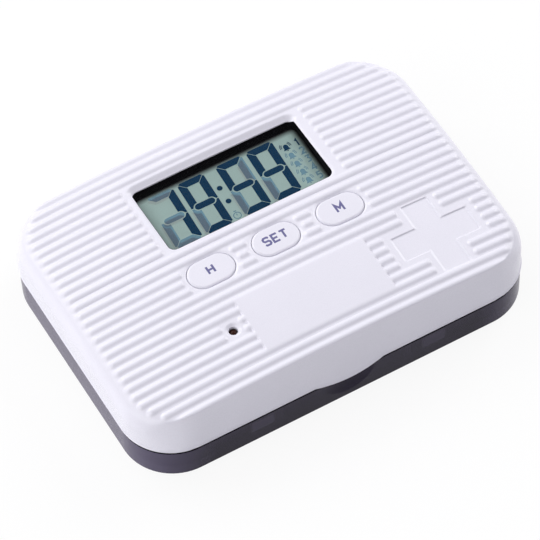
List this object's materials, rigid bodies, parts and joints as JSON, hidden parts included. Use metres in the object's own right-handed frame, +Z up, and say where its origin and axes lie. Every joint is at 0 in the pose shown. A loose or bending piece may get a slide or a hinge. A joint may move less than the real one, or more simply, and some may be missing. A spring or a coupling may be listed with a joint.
{
  "type": "smart pill box",
  "caption": "Pocket pill box: smoke-grey compartment tray under a hinged ribbed lid with clock display, push keys, alarm light and battery bay.",
  "frame": {"origin": "centre of the flat underside of the tray, on the surface the box stands on", "axes": "+X along the lid's ribs to the right, +Y to the hinge at the back, +Z up"},
  "size_m": [0.138, 0.1014, 0.03],
  "materials": {
    "tray_plastic": "smoke-grey translucent, polished outside",
    "lid_plastic": "white with a soft satin sheen",
    "inner_plastic": "plain white moulding",
    "key_plastic": "white with a soft satin sheen",
    "black_plastic": "moulded black",
    "steel": "drawn wire and turned heads",
    "plated_metal": "nickel plated strip",
    "cell_jacket": "shrunk printed sleeve",
    "board_laminate": "green glass-fibre laminate",
    "strip_rubber": "soft silicone strip",
    "display_face": "grey-green display with dark segments",
    "clear_lens": "clear polished acrylic",
    "light_resin": "dark red clear resin"
  },
  "bodies": {
    "base": {"base_tray": "tray_plastic", "hinge_pins": "steel"},
    "lid": {"lid_shell": "lid_plastic", "lid_inner_cover": "inner_plastic", "battery_door": "inner_plastic", "cover_screws": "steel", "board_screws": "steel", "door_screw": "steel", "cell_front": "cell_jacket", "cell_back": "cell_jacket", "battery_contacts": "plated_metal", "battery_bridge": "plated_metal", "battery_springs": "plated_metal", "circuit_board": "board_laminate", "display_holder": "inner_plastic", "contact_strip": "strip_rubber", "display_glass": "display_face", "display_lens": "clear_lens", "display_bezel": "black_plastic", "switch_bodies": "black_plastic", "indicator_light": "light_resin", "clock_chip": "black_plastic", "crystal": "steel", "buzzer": "black_plastic"},
    "hour_key": {"hour_key": "key_plastic", "hour_key_plunger": "black_plastic"},
    "set_key": {"set_key": "key_plastic", "set_key_plunger": "black_plastic"},
    "minute_key": {"minute_key": "key_plastic", "minute_key_plunger": "black_plastic"}
  },
  "joints": [
    {"name": "lid_hinge", "type": "hinge", "parent": "base", "child": "lid", "pos_m": [0, 0.0498, 0.01185], "axis": [-1, 0, 0], "range_deg": [0, 110]},
    {"name": "hour_key_press", "type": "slide", "parent": "lid", "child": "hour_key", "axis": [0, 0, -1], "range_m": [0, 0.0005], "stiffness_N_per_m": 400},
    {"name": "set_key_press", "type": "slide", "parent": "lid", "child": "set_key", "axis": [0, 0, -1], "range_m": [0, 0.0005], "stiffness_N_per_m": 400},
    {"name": "minute_key_press", "type": "slide", "parent": "lid", "child": "minute_key", "axis": [0, 0, -1], "range_m": [0, 0.0005], "stiffness_N_per_m": 400}
  ]
}
